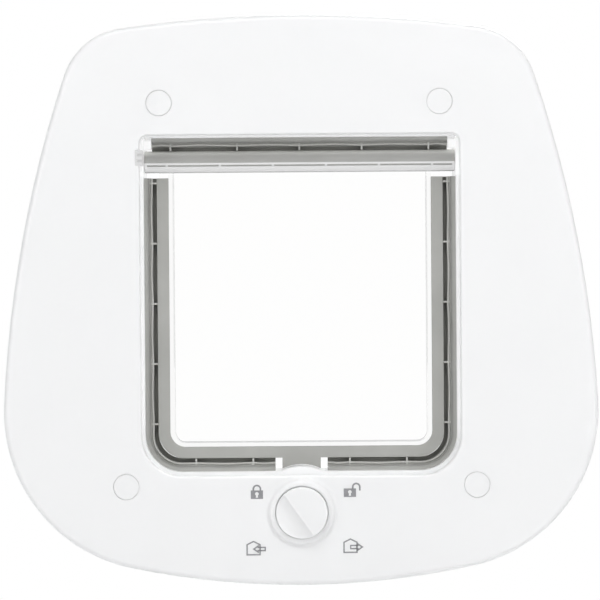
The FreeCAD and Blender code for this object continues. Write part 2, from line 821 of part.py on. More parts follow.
def lip_seal_left():
    """The strip down the left wall, round the corner and along the floor to the hump."""
    section = lip_section(side_front_reach, side_rear_reach)
    wall_x = -tunnel_half_width
    corner_x = wall_x + tunnel_corner_r
    corner_z = tunnel_floor + tunnel_corner_r
    upright_face = filled([at(wall_x + away, y, corner_z) for away, y in section])
    pieces = [upright_face.extrude(at(0, 0, seal_end_z - corner_z))]
    pieces.append(upright_face.revolve(at(corner_x, 0, corner_z), at(0, -1, 0), 90))
    floor_face = filled([at(corner_x, y, tunnel_floor + away) for away, y in section])
    pieces.append(floor_face.extrude(at(-strip_end_x - corner_x, 0, 0)))
    front, rear = strip_web_depth()
    half = web_wall / 2
    for index in range(side_web_count):
        z = side_web_first - index * side_web_pitch
        pieces.append(block(wall_x + strip_foot, wall_x + side_rear_reach, front, rear, z - half, z + half))
    for x in bottom_web_places:
        pieces.append(block(-x - half, -x + half, front, rear, tunnel_floor + strip_foot,
                            tunnel_floor + side_rear_reach))
    return join(pieces)


def lip_seal_top():
    """The strip under the tunnel's roof, above the hinge bar."""
    section = lip_section(top_front_reach, top_rear_reach)
    start = -top_strip_half_length
    face = filled([at(start, y, tunnel_top - away) for away, y in section])
    pieces = [face.extrude(at(2 * top_strip_half_length, 0, 0))]
    front, rear = strip_web_depth()
    half = web_wall / 2
    for x in top_web_places:
        pieces.append(block(x - half, x + half, front, rear, tunnel_top - top_rear_reach,
                            tunnel_top - strip_foot))
    return join(pieces)


def stop_disc(front, rear, angles):
    """A disc on the spindle with two lobes that stand in the flap's way when they are up."""
    pieces = [cylinder_y(disc_r, front, rear, 0, lock_z)]
    reach = cylinder_y(lobe_r, front, rear, 0, lock_z)
    for angle in angles:
        lobe = block(0, lobe_r + 1, front, rear, lock_z - lobe_half_width, lock_z + lobe_half_width)
        lobe.rotate(at(0, 0, lock_z), at(0, 1, 0), -angle)
        pieces.append(lobe.common(reach))
    return join(pieces).cut(cylinder_y(spindle_r + press_fit, front - 1, rear + 1, 0, lock_z))


def lock_spindle():
    """The shaft from the knob to the lock cover, with a groove for its clip."""
    shaft = cylinder_y(spindle_r, plate_front - knob_height / 2, spindle_rear, 0, lock_z)
    start = cover_rear + clip_end_play
    groove = cylinder_y(spindle_r + 1, start, start + clip_thickness, 0, lock_z)
    groove = groove.cut(cylinder_y(spindle_r - clip_depth, cover_rear, spindle_rear, 0, lock_z))
    return shaft.cut(groove)


def spindle_circlip():
    """The open spring ring behind the lock cover."""
    front = cover_rear + clip_end_play
    outer = cylinder_y(spindle_r + clip_wall, front, front + clip_thickness, 0, lock_z)
    inner_r = spindle_r - clip_depth + press_fit
    outer = outer.cut(cylinder_y(inner_r, front - 1, front + clip_thickness + 1, 0, lock_z))
    mouth = block(-clip_mouth_half_width, clip_mouth_half_width, front - 1, front + clip_thickness + 1,
                  lock_z - spindle_r - clip_wall - 1, lock_z)
    return outer.cut(mouth)


def lock_knob():
    """The turning knob: a disc with a scooped side, and a hub through the faceplate."""
    seat = plate_front - knob_seat_gap
    disc = cylinder_y(knob_r, knob_front, seat, 0, lock_z)
    disc = disc.makeFillet(knob_edge_r, front_edges(disc, knob_front))
    hub = cylinder_y(hub_r, seat - knob_edge_r, wheel_front - fit, 0, lock_z)
    knob = join([disc, hub])
    along = at(math.cos(math.radians(grip_angle)), 0, math.sin(math.radians(grip_angle)))
    across = at(-along.z, 0, along.x)
    half_chord = math.sqrt(grip_scoop_r ** 2 - (grip_scoop_r - grip_scoop_depth) ** 2)
    axis_point = at(0, knob_front - grip_scoop_r + grip_scoop_depth, lock_z)
    axis_point = axis_point - across * (grip_offset + half_chord)
    scoop = Part.makeCylinder(grip_scoop_r, 4 * knob_r, axis_point - along * (2 * knob_r), along)
    knob = knob.cut(scoop)
    bore = cylinder_y(spindle_r + press_fit, plate_front - knob_height / 2 - fit, 0, 0, lock_z)
    return knob.cut(bore)


def detent_wheel():
    """The wheel with a notch for each of the four positions."""
    rear = wheel_front + wheel_thickness
    wheel = cylinder_y(wheel_r, wheel_front, rear, 0, lock_z)
    cuts = [cylinder_y(spindle_r + press_fit, wheel_front - 1, rear + 1, 0, lock_z)]
    for quarter in range(4):
        angle = math.radians(90 * quarter)
        x = notch_centre_r * math.cos(angle)
        z = notch_centre_r * math.sin(angle)
        cuts.append(cylinder_y(notch_r, wheel_front - 1, rear + 1, x, lock_z + z))
    return wheel.cut(join(cuts))


def detent_spring():
    """The leaf between two posts, with a nub that clicks into the wheel's notches."""
    rear = wheel_front + wheel_thickness
    leaf_z = lock_z - leaf_centre_drop
    hole_r = leaf_post_r + press_fit
    leaf_half = leaf_post_x - hole_r
    pieces = [block(-leaf_half, leaf_half, wheel_front, rear, leaf_z - leaf_thickness / 2,
                    leaf_z + leaf_thickness / 2)]
    pieces.append(cylinder_y(nub_r, wheel_front, rear, 0, lock_z - notch_centre_r))
    for x in (-leaf_post_x, leaf_post_x):
        eye = cylinder_y(hole_r + leaf_thickness, wheel_front, rear, x, leaf_z)
        pieces.append(eye.cut(cylinder_y(hole_r, wheel_front, rear, x, leaf_z)))
    return join(pieces)


def lock_cover():
    """The plate that closes the lock from behind and carries the spindle's tail."""
    corners = [(x, lock_z + z, cover_corner_r) for x, z in cover_corners]
    plate = prism(rounded_wire(corners, cover_front), cover_front, cover_rear)
    cuts = [cylinder_y(spindle_r + running_gap, cover_front - 1, cover_rear + 1, 0, lock_z)]
    for x, z in cover_posts:
        cuts.append(cylinder_y(cover_pilot_r + cover_screw_play, cover_front - 1, cover_rear + 1, x,
                               lock_z + z))
    return plate.cut(join(cuts))


def lock_cover_screws():
    """The four small screws of the lock cover."""
    screws = []
    head_rear = cover_rear + cover_screw_head
    half = cover_screw_slot_half_width
    for x, drop in cover_posts:
        z = lock_z + drop
        head = cylinder_y(cover_screw_head_r, cover_rear, head_rear, x, z)
        shank = cylinder_y(cover_pilot_r - press_fit, cover_rear - cover_screw_length, cover_rear, x, z)
        slot = block(x - cover_screw_head_r - 1, x + cover_screw_head_r + 1,
                     head_rear - cover_screw_slot_depth, head_rear + 1, z - half, z + half)
        screws.append(join([head, shank]).cut(slot))
    return Part.makeCompound(screws)


def build_nodes():
    """Every piece by its name."""
    nodes = {"inner_frame": inner_frame(), "outer_frame": outer_frame()}
    nodes["panel_gasket_inner"] = gasket(0.0, -1)
    nodes["panel_gasket_outer"] = gasket(panel_thickness, 1)
    nodes["frame_screws"] = frame_screws()
    names = ("upper_left", "upper_right", "lower_left", "lower_right")
    for name, (x, z) in zip(names, screw_places()):
        nodes["screw_cap_" + name] = screw_cap(x, z)
    for name, side in (("left", -1), ("right", 1)):
        nodes["hinge_bearing_" + name] = bearing_block(side)
        nodes["hinge_pin_" + name] = hinge_pin(side)
    nodes["hinge_retainer_left"] = hinge_retainer()
    left_strip = lip_seal_left()
    nodes["lip_seal_left"] = left_strip
    nodes["lip_seal_right"] = mirrored(left_strip)
    nodes["lip_seal_top"] = lip_seal_top()
    nodes["flap_panel"] = flap_panel()
    nodes["flap_border_seal"] = flap_border_seal()
    nodes["flap_top_seal"] = flap_top_seal()
    nodes["flap_magnet"] = flap_magnet()
    nodes["frame_magnet"] = frame_magnet()
    nodes["lock_knob"] = lock_knob()
    nodes["lock_spindle"] = lock_spindle()
    nodes["front_stop_disc"] = stop_disc(front_disc_front, front_disc_rear, front_lobe_angles)
    nodes["rear_stop_disc"] = stop_disc(rear_disc_front, rear_disc_rear, rear_lobe_angles)
    nodes["detent_wheel"] = detent_wheel()
    nodes["detent_spring"] = detent_spring()
    nodes["spindle_circlip"] = spindle_circlip()
    nodes["lock_cover"] = lock_cover()
    nodes["lock_cover_screws"] = lock_cover_screws()
    return nodes


os.makedirs("parts", exist_ok=True)
for node_name, node_shape in build_nodes().items():
    node_shape.exportStep("parts/" + node_name + ".step")
    print(node_name, "solids", len(node_shape.Solids), "valid", node_shape.isValid(),
          "volume", round(node_shape.Volume, 1))
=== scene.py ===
# %% [markdown]
# A four-way cat flap for a round cut-out in a glass panel, seen squarely from indoors. The rigid pieces
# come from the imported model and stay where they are. This lesson gives them their finishes, makes the
# rubber lips with their slightly wavy edges, and prints the four symbols round the lock knob.

# %% Load the frame
import math

import bmesh
import bpy
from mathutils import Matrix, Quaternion, Vector


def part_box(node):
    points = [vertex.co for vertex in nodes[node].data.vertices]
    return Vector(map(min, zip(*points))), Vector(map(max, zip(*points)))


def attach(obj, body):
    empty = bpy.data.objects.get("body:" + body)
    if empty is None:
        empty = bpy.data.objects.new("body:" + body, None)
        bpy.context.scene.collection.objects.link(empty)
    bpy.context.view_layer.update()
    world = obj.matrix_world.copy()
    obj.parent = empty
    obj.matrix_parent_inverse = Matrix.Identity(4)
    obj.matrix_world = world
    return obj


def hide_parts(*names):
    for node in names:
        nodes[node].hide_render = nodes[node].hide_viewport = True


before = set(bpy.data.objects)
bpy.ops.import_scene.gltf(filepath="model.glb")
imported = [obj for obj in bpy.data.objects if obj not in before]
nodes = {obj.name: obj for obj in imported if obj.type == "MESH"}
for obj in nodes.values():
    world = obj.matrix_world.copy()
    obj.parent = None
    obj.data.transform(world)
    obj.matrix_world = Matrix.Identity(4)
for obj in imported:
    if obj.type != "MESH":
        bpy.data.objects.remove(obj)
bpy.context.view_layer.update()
MM = 0.001

# %% [markdown]
# Everything that is added here is placed from the pieces it sits on. The screw caps lie flush with the
# faceplate, so their front face tells where the plate's surface is, and the knob tells where the lock's
# axis is.

# %% Measure the frame
plate_low, plate_high = [Vector(corner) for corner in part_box("inner_frame")]
cap_low = Vector(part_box("screw_cap_upper_left")[0])
knob_low, knob_high = [Vector(corner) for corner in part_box("lock_knob")]
plate_front = cap_low.y
plate_centre = (plate_low + plate_high) / 2
lock_axis = (knob_low + knob_high) / 2
print("plate front at y", round(plate_front, 4), "lock axis at z", round(lock_axis.z, 4))

# %% [markdown]
# The photograph was taken with a long lens, straight on, a little above the middle, and it leans by less
# than half a degree. A camera far away with a narrow view gives the same flat perspective.

# %% Place the camera
camera_distance = 1.40
camera_rise = 0.018
image_width = 0.2738
image_shift = -0.0002
image_lean = math.radians(0.416)
rim_y = -0.003
nearest_seen = 0.05

camera_data = bpy.data.cameras.new("camera")
camera = bpy.data.objects.new("camera", camera_data)
bpy.context.scene.collection.objects.link(camera)
camera_target = Vector((image_shift, rim_y, plate_centre.z))
camera.location = camera_target + Vector((0.0, -camera_distance, camera_rise))
look = (camera_target - camera.location).to_track_quat("-Z", "Y")
camera.rotation_mode = "QUATERNION"
camera.rotation_quaternion = look @ Quaternion((0.0, 0.0, 1.0), -image_lean)
camera_data.sensor_width = 36.0
camera_data.lens = camera_data.sensor_width * camera_distance / image_width
camera_data.clip_start = nearest_seen
bpy.context.scene.camera = camera
print("lens", round(camera_data.lens, 1), "mm")

# %% [markdown]
# Every finish below, the floor and the backdrop are trees of nodes, and the same few steps come back in
# each. They get short helpers, so that the trees read like recipes. The first ones deal in numbers: where
# a point is on its piece, a sum on two numbers, and a number that rises between two places.

# %% Write the helpers for numbers


def own_place(tree):
    """The coordinates of the piece itself."""
    return tree.nodes.new("ShaderNodeTexCoord").outputs["Object"]


def split(tree, place):
    """The X, Y and Z of a place."""
    parts = tree.nodes.new("ShaderNodeSeparateXYZ")
    tree.links.new(place, parts.inputs["Vector"])
    return parts.outputs


def feed(tree, value, socket):
    """Links an output to a socket, or writes a plain value into it."""
    if isinstance(value, bpy.types.NodeSocket):
        tree.links.new(value, socket)
    else:
        socket.default_value = value


def reckon(tree, operation, first, second=0.0):
    """One sum on two numbers, linked or plain."""
    node = tree.nodes.new("ShaderNodeMath")
    node.operation = operation
    feed(tree, first, node.inputs[0])
    feed(tree, second, node.inputs[1])
    return node.outputs[0]


def rise(tree, source, low, high, to_low=0.0, to_high=1.0, curve="LINEAR"):
    """A number that goes from to_low to to_high while the source goes from low to high."""
    node = tree.nodes.new("ShaderNodeMapRange")
    node.interpolation_type = curve
    for name, value in (("From Min", low), ("From Max", high), ("To Min", to_low), ("To Max", to_high)):
        node.inputs[name].default_value = value
    tree.links.new(source, node.inputs["Value"])
    return node.outputs["Result"]


def distance(tree, place, centre):
    """How far a place is from a fixed point."""
    node = tree.nodes.new("ShaderNodeVectorMath")
    node.operation = "DISTANCE"
    node.inputs[1].default_value = centre
    tree.links.new(place, node.inputs[0])
    return node.outputs["Value"]


print("number helpers are ready")

# %% [markdown]
# The next ones deal in colours and shaders: a noise in the piece's own coordinates, a colour that follows a
# number, a mix of two shaders, and the question whether a surface is seen directly or only lights others.

# %% Write the helpers for colours
WHITE = (1.0, 1.0, 1.0, 1.0)


def noise(tree, place, scale, detail):
    """A cloudy number between 0 and 1."""
    node = tree.nodes.new("ShaderNodeTexNoise")
    node.inputs["Scale"].default_value = scale
    node.inputs["Detail"].default_value = detail
    tree.links.new(place, node.inputs["Vector"])
    return node.outputs["Fac"]


def follow(tree, source, stops):
    """A colour that follows a number from 0 to 1 through stops of (position, colour)."""
    node = tree.nodes.new("ShaderNodeValToRGB")
    elements = node.color_ramp.elements
    elements[0].position, elements[0].color = stops[0][0], (*stops[0][1], 1.0)
    elements[1].position, elements[1].color = stops[-1][0], (*stops[-1][1], 1.0)
    for position, colour in stops[1:-1]:
        elements.new(position).color = (*colour, 1.0)
    tree.links.new(source, node.inputs["Fac"])
    return node.outputs["Color"]


def mix_shaders(tree, share, first, second):
    """Two shaders mixed, with a linked or plain share of the second."""
    node = tree.nodes.new("ShaderNodeMixShader")
    feed(tree, share, node.inputs[0])
    tree.links.new(first, node.inputs[1])
    tree.links.new(second, node.inputs[2])
    return node.outputs[0]


def see_directly(tree):
    """A value that is one for camera, glossy and transmission rays."""
    rays = tree.nodes.new("ShaderNodeLightPath").outputs
    either = reckon(tree, "MAXIMUM", rays["Is Camera Ray"], rays["Is Glossy Ray"])
    return reckon(tree, "MAXIMUM", either, rays["Is Transmission Ray"])


def grey(level):
    """A neutral colour."""
    return (level, level, level)


print("colour helpers are ready")

# %% [markdown]
# The studio is a pale floor in front of a white backdrop, which is white wherever the camera looks. The
# clear flap and reflections see it white before and behind them and dimmer at the sides, which draws the
# fine grey lines along the edges of clear plastic. What the surround gives the object is a softer light,
# so the white moulding keeps its shading.

# %% Build the surround
ambient_level = 0.38
ambient_colour = (0.985, 0.99, 1.0, 1.0)
side_level = 0.45
side_until = 0.72
white_from = 0.97

world = bpy.data.worlds.new("studio")
world.use_nodes = True
world_tree = world.node_tree
world_tree.nodes.clear()
ambient = world_tree.nodes.new("ShaderNodeBackground")
ambient.inputs["Color"].default_value = ambient_colour
ambient.inputs["Strength"].default_value = ambient_level
world_way = world_tree.nodes.new("ShaderNodeTexCoord").outputs["Generated"]
straight = reckon(world_tree, "ABSOLUTE", split(world_tree, world_way)["Y"])
behind = rise(world_tree, straight, side_until, white_from, side_level, 1.0, "SMOOTHSTEP")
world_rays = world_tree.nodes.new("ShaderNodeLightPath").outputs
backdrop = world_tree.nodes.new("ShaderNodeBackground")
backdrop.inputs["Color"].default_value = WHITE
feed(world_tree, reckon(world_tree, "MAXIMUM", behind, world_rays["Is Camera Ray"]),
     backdrop.inputs["Strength"])
world_mix = mix_shaders(world_tree, see_directly(world_tree), ambient.outputs[0], backdrop.outputs[0])
world_out = world_tree.nodes.new("ShaderNodeOutputWorld")
world_tree.links.new(world_mix, world_out.inputs["Surface"])
bpy.context.scene.world = world
bpy.context.scene.view_settings.view_transform = "Standard"
print("ambient level", ambient_level)

# %% [markdown]
# Four soft lamps light the object: a long one above the camera, which leaves the underside of each edge a
# little darker, a weaker one on either side, and one behind, which fills the tunnel and the outdoor face.

# %% Add the soft lamps


def soft_lamp(name, place, width, height, power):
    """An oblong area lamp that faces the middle of the faceplate."""
    data = bpy.data.lights.new(name, "AREA")
    data.shape = "RECTANGLE"
    data.size = width
    data.size_y = height
    data.energy = power
    lamp = bpy.data.objects.new(name, data)
    bpy.context.scene.collection.objects.link(lamp)
    lamp.location = place
    lamp.rotation_euler = (plate_centre - Vector(place)).to_track_quat("-Z", "Y").to_euler()


soft_lamp("key", (0.1, -1.0, 1.2), 1.6, 0.6, 11.2)
soft_lamp("left", (-1.15, -1.3, 0.25), 0.8, 0.8, 4.1)
soft_lamp("right", (1.15, -1.3, 0.25), 0.8, 0.8, 3.9)
soft_lamp("rear", (0.5, 1.8, 1.2), 1.0, 1.0, 24.0)

# %% [markdown]
# The floor is a wide pale sheet half a hand's width below the plate. Near the object it is a matt surface
# that takes the shadow. Further off, where the camera or the clear flap looks at it directly, it turns as
# white as the backdrop, so no horizon shows.

# %% Lay the floor
floor_drop = 0.055
floor_half = 4.0
matt_radius = 0.2
white_radius = 0.4

floor_mesh = bpy.data.meshes.new("floor")
floor_z = plate_low.z - floor_drop
floor_corners = [(-floor_half, -floor_half, floor_z), (floor_half, -floor_half, floor_z)]
floor_corners += [(floor_half, floor_half, floor_z), (-floor_half, floor_half, floor_z)]
floor_mesh.from_pydata(floor_corners, [], [(0, 1, 2, 3)])
floor = bpy.data.objects.new("floor", floor_mesh)
bpy.context.scene.collection.objects.link(floor)
floor_material = bpy.data.materials.new("pale_floor")
floor_material.use_nodes = True
floor_tree = floor_material.node_tree
floor_shader = floor_tree.nodes["Principled BSDF"]
floor_shader.inputs["Base Color"].default_value = (0.9, 0.9, 0.9, 1.0)
floor_shader.inputs["Roughness"].default_value = 0.8
floor_shader.inputs["Specular IOR Level"].default_value = 0.1
floor_far = distance(floor_tree, own_place(floor_tree), (0.0, 0.0, floor_z))
floor_fade = rise(floor_tree, floor_far, matt_radius, white_radius, curve="SMOOTHSTEP")
floor_white = reckon(floor_tree, "MULTIPLY", floor_fade, see_directly(floor_tree))
floor_light = floor_tree.nodes.new("ShaderNodeEmission")
floor_mix = mix_shaders(floor_tree, floor_white, floor_shader.outputs[0], floor_light.outputs[0])
floor_tree.links.new(floor_mix, floor_tree.nodes["Material Output"].inputs["Surface"])
floor_mesh.materials.append(floor_material)
print("floor at z", round(floor_z, 3))

# %% [markdown]
# Most finishes here are moulded: one colour that drifts very slightly over the piece, and a skin with a
# fine grain. One helper builds such a finish from noise in the piece's own coordinates. A second lays a
# painted tone of light and shade over it, set by the place on the piece.

# %% Write the finish helpers
drift_detail = 3.0
drift_range = (0.35, 0.65)
grain_detail = 4.0
grain_strength = 0.35


def moulded(name, low, high, roughness, drift_scale, grain_scale, grain_height, metallic=0.0, coat=0.0):
    """A material whose colour drifts between low and high, with a fine grain in its surface."""
    material = bpy.data.materials.new(name)
    material.use_nodes = True
    tree = material.node_tree
    shader = tree.nodes["Principled BSDF"]
    shader.inputs["Metallic"].default_value = metallic
    shader.inputs["Coat Weight"].default_value = coat
    place = own_place(tree)
    drift = noise(tree, place, drift_scale, drift_detail)
    colour = follow(tree, drift, list(zip(drift_range, (low, high))))
    tree.links.new(colour, shader.inputs["Base Color"])
    tree.links.new(rise(tree, drift, 0.0, 1.0, *roughness), shader.inputs["Roughness"])
    bump = tree.nodes.new("ShaderNodeBump")
    bump.inputs["Strength"].default_value = grain_strength
    bump.inputs["Distance"].default_value = grain_height
    tree.links.new(noise(tree, place, grain_scale, grain_detail), bump.inputs["Height"])
    tree.links.new(bump.outputs["Normal"], shader.inputs["Normal"])
    return material


def paint_light_tone(material, source, stops):
    """Multiplies a material's colour by a painted tone of light and shade that follows a number from 0 to
    1.
    """
    tree = material.node_tree
    base = tree.nodes["Principled BSDF"].inputs["Base Color"]
    drifting = base.links[0].from_socket
    toned = tree.nodes.new("ShaderNodeMix")
    toned.data_type = "RGBA"
    toned.blend_type = "MULTIPLY"
    toned.inputs["Factor"].default_value = 1.0
    tree.links.new(drifting, toned.inputs["A"])
    tree.links.new(follow(tree, source, stops), toned.inputs["B"])
    tree.links.new(toned.outputs["Result"], base)


def glow(material, strength):
    """A faint white glow, as strong as a linked or plain number says."""
    shader = material.node_tree.nodes["Principled BSDF"]
    shader.inputs["Emission Color"].default_value = WHITE
    feed(material.node_tree, strength, shader.inputs["Emission Strength"])


def finish_nodes(material, names):
    """Gives CAD nodes a finish in every slot."""
    for name in names:
        mesh = nodes[name].data
        mesh.materials.clear()
        mesh.materials.append(material)


print("finish helpers are ready")

# %% [markdown]
# The faceplates, caps and knob are white satin plastic. White plastic isn't pure white: it reflects about
# nine tenths of the light, slightly less of the red. Light also creeps a millimetre or so into it, which
# softens its grooves and corners.

# %% White satin plastic
white_plastic = moulded("white_satin_plastic", (0.885, 0.888, 0.892), (0.9, 0.902, 0.905),
                        (0.30, 0.38), 9.0, 2600.0, 0.00001, coat=0.15)
white_shader = white_plastic.node_tree.nodes["Principled BSDF"]
white_shader.inputs["Subsurface Weight"].default_value = 0.4
white_shader.inputs["Subsurface Radius"].default_value = (1.0, 1.0, 1.0)
white_shader.inputs["Subsurface Scale"].default_value = 1.5 * MM
caps = ["screw_cap_upper_left", "screw_cap_upper_right", "screw_cap_lower_left", "screw_cap_lower_right"]
white_nodes = ["inner_frame", "outer_frame", "lock_knob", "lock_cover"] + caps
finish_nodes(white_plastic, white_nodes)
print("white pieces:", len(white_nodes))

# %% [markdown]
# The thin walls of the tunnel are lit from both sides and shine through a little, and so does the plastic
# round the narrow gap at the knob. A faint painted glow stands for that and lifts the shade in that gap and
# on the tunnel's walls. It is kept behind both faces of the object and near the opening. It is strongest
# at the knob, weak on the tunnel's floor, which a lamp lights from above, and half as strong along the
# walls and the roof as at the knob.

# %% Paint a glow on the thin walls
gap_glow = 0.2
glow_radius = 114.0 * MM
glow_edge = 6.0 * MM
glow_low = -79.0 * MM
glow_high = -50.0 * MM
face_skin = 0.8 * MM
face_depth = 2.0 * MM
level_stops = [(0.0, grey(1.0)), (0.03, grey(0.1)), (0.4, grey(0.1)), (1.0, grey(0.5))]

white_tree = white_plastic.node_tree
white_place = own_place(white_tree)
white_parts = split(white_tree, white_place)
outer_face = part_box("outer_frame")[1][1]
half_way = (plate_front + outer_face) / 2
half_depth = (outer_face - plate_front) / 2
from_half_way = reckon(white_tree, "ABSOLUTE", reckon(white_tree, "SUBTRACT", white_parts["Y"], half_way))
between_faces = rise(white_tree, from_half_way, half_depth - face_skin, half_depth - face_depth)
from_centre = distance(white_tree, white_place, (0.0, 0.0, 0.0))
near_opening = rise(white_tree, from_centre, glow_radius, glow_radius - glow_edge, 0.0, gap_glow)
height_share = rise(white_tree, white_parts["Z"], glow_low, glow_high)
wall_share = reckon(white_tree, "MULTIPLY", between_faces, follow(white_tree, height_share, level_stops))
glow(white_plastic, reckon(white_tree, "MULTIPLY", wall_share, near_opening))
print("glow behind the faces, to", round(glow_radius / MM), "mm from the middle")

# %% [markdown]
# The bearing blocks and the small grey key beside the hinge are a milky, slippery plastic. Light fills it
# all through, and a painted glow stands for that too: it lifts the shade on the blocks under the roof and
# in the key's dark gaps.

# %% Bearing blocks and hinge key
bearing_plastic = moulded("bearing_plastic", grey(0.9), grey(0.92), (0.3, 0.38), 9.0, 2600.0, 0.00001)
glow(bearing_plastic, 0.22)
finish_nodes(bearing_plastic, ["hinge_bearing_left", "hinge_bearing_right"])
key_plastic = moulded("hinge_key_plastic", grey(0.36), grey(0.4), (0.4, 0.5), 60.0, 2600.0, 0.00001)
glow(key_plastic, 0.3)
finish_nodes(key_plastic, ["hinge_retainer_left"])
print("milky plastics are set")

# %% [markdown]
# The lock's inner pieces are a duller natural plastic. Pins, screws, the detent leaf and the clip are plain
# steel, and the two magnets are dark ferrite. They hardly show, but they do when the knob is turned or the
# flap is seen from below.

# %% Inner plastic, steel and ferrite
inner_plastic = moulded("natural_plastic", (0.66, 0.67, 0.66), (0.72, 0.73, 0.72), (0.42, 0.5),
                        40.0, 3000.0, 0.00001)
finish_nodes(inner_plastic, ["lock_spindle", "front_stop_disc", "rear_stop_disc", "detent_wheel"])
bright_steel = moulded("bright_steel", (0.52, 0.52, 0.53), (0.62, 0.62, 0.63), (0.22, 0.34), 150.0,
                       5000.0, 0.000004, metallic=1.0)
steel_nodes = ["hinge_pin_left", "hinge_pin_right", "frame_screws", "lock_cover_screws"]
steel_nodes += ["detent_spring", "spindle_circlip"]
finish_nodes(bright_steel, steel_nodes)
ferrite = moulded("ferrite", (0.035, 0.035, 0.037), (0.06, 0.06, 0.062), (0.5, 0.65), 300.0, 6000.0,
                  0.00001)
finish_nodes(ferrite, ["flap_magnet", "frame_magnet"])
print("steel pieces:", len(steel_nodes))

# %% [markdown]
# The seals are a warm mid-grey rubber, matt, with a faint bloom. The foam rings against the glass are
# darker and open-celled. The band in the hinge bar is a lighter rubber with painted light over its height:
# a painted highlight along its upper edge, painted shade through its middle, lighter again at the bottom.

# %% Border rubber, foam and bar band
seal_rubber = moulded("grey_seal_rubber", (0.39, 0.39, 0.37), (0.43, 0.43, 0.41), (0.52, 0.66),
                      35.0, 1800.0, 0.00002)
finish_nodes(seal_rubber, ["flap_border_seal"])
gasket_foam = moulded("gasket_foam", (0.16, 0.16, 0.16), (0.24, 0.24, 0.235), (0.8, 0.95), 900.0,
                      1500.0, 0.0002)
finish_nodes(gasket_foam, ["panel_gasket_inner", "panel_gasket_outer"])
bar_rubber = moulded("bar_band_rubber", (0.72, 0.72, 0.69), (0.77, 0.77, 0.74), (0.45, 0.6), 35.0, 1800.0,
                     0.00002)
band_low, band_high = [Vector(corner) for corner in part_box("flap_top_seal")]
band_tree = bar_rubber.node_tree
band_level = split(band_tree, own_place(band_tree))["Z"]
# Painted highlight at the band's top edge and painted shade through its middle, by height.
band_painted_light_stops = [(0.0, grey(0.79)), (0.15, grey(0.64)), (0.3, grey(0.6)), (0.6, grey(0.61))]
band_painted_light_stops += [(0.7, grey(0.68)), (0.78, grey(0.86)), (0.9, grey(1.0))]
paint_light_tone(bar_rubber, rise(band_tree, band_level, band_low.z, band_high.z), band_painted_light_stops)
finish_nodes(bar_rubber, ["flap_top_seal"])
print("border, foam and band are set")

# %% [markdown]
# The lip strips carry painted light and shade on their colour. Painted shade darkens them down the slope of
# each lip, a painted highlight makes them pale again on its bead, and the darkest painted shade fills the
# groove between the lips, so their tone follows the distance from the groove's middle.

# %% Strip rubber
strip_rubber = moulded("lip_strip_rubber", (0.51, 0.51, 0.485), (0.56, 0.56, 0.535), (0.52, 0.66),
                       35.0, 1800.0, 0.00002)
lips_low, lips_high = [Vector(corner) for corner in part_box("lip_seal_left")]
groove_middle = (lips_low.y + lips_high.y) / 2
groove_half = (lips_high.y - lips_low.y) / 2
strip_tree = strip_rubber.node_tree
strip_depth = split(strip_tree, own_place(strip_tree))["Y"]
from_groove = reckon(strip_tree, "ABSOLUTE", reckon(strip_tree, "SUBTRACT", strip_depth, groove_middle))
# Painted shade in the groove and down the slope, painted highlight on the bead.
strip_painted_light_stops = [(0.34, (0.46, 0.46, 0.44)), (0.4, grey(0.95)), (0.52, grey(1.0))]
strip_painted_light_stops += [(0.56, grey(0.44)), (0.72, grey(0.53)), (0.99, grey(0.74))]
paint_light_tone(strip_rubber, rise(strip_tree, from_groove, 0.0, groove_half), strip_painted_light_stops)
print("strip rubber is set, groove half", round(groove_half / MM, 2), "mm")

# %% [markdown]
# The flap is clear plastic that bends light like acrylic. Its raised rim is thicker than the window, so it
# is tinted a little more, which the distance from the flap's middle plane tells.

# %% Clear plastic
rim_starts = 1.1 * MM
rim_face = 1.75 * MM
bar_r = (band_high.y - band_low.y) / 2
bar_axis = Vector((0.0, (band_high.y + band_low.y) / 2, band_high.z - bar_r))

clear_plastic = bpy.data.materials.new("clear_flap_plastic")
clear_plastic.use_nodes = True
clear_tree = clear_plastic.node_tree
clear_shader = clear_tree.nodes["Principled BSDF"]
clear_shader.inputs["Transmission Weight"].default_value = 1.0
clear_shader.inputs["IOR"].default_value = 1.49
clear_place = own_place(clear_tree)
clear_parts = split(clear_tree, clear_place)
clear_gloss = rise(clear_tree, noise(clear_tree, clear_place, 30.0, 2.0), 0.0, 1.0, 0.015, 0.05)
clear_tree.links.new(clear_gloss, clear_shader.inputs["Roughness"])
from_sheet = reckon(clear_tree, "ABSOLUTE", reckon(clear_tree, "SUBTRACT", clear_parts["Y"], bar_axis.y))
clear_tint = clear_tree.nodes.new("ShaderNodeMix")
clear_tint.data_type = "RGBA"
clear_tint.inputs["A"].default_value = (0.99, 0.99, 0.987, 1.0)
clear_tint.inputs["B"].default_value = (0.955, 0.955, 0.95, 1.0)
clear_tree.links.new(rise(clear_tree, from_sheet, rim_starts, rim_face), clear_tint.inputs["Factor"])
clear_tree.links.new(clear_tint.outputs["Result"], clear_shader.inputs["Base Color"])
print("hinge bar radius", round(bar_r / MM, 2), "mm")

# %% [markdown]
# The hinge bar is the same plastic but thick and round, and it gathers the light of the room as a lens
# does, so it looks pale against the rubber that it holds. A painted light stands for that: a mix of a white
# skin and a faint glow. It starts at the bar's underside, with a painted dark line there where a clear rod
# shows a dark edge, and painted shade darkens it inside the narrow slots along the bar, which the distance
# from the bar's axis tells. A shadow ray meets a plain transparent surface in place of all this, so the
# lamps reach the tunnel behind and the flap throws only a faint shadow.

# %% Painted light on the hinge bar and faint shadow
bar_painted_share = 0.88
bar_glow_share = 0.36
bar_low = bar_axis.z - bar_r
bar_paint_from = bar_low - 0.2 * MM
bar_paint_full = bar_low + 0.4 * MM
edge_top = bar_low + 0.6 * MM
slot_depth = 0.2 * MM
slot_mouth = 0.08 * MM

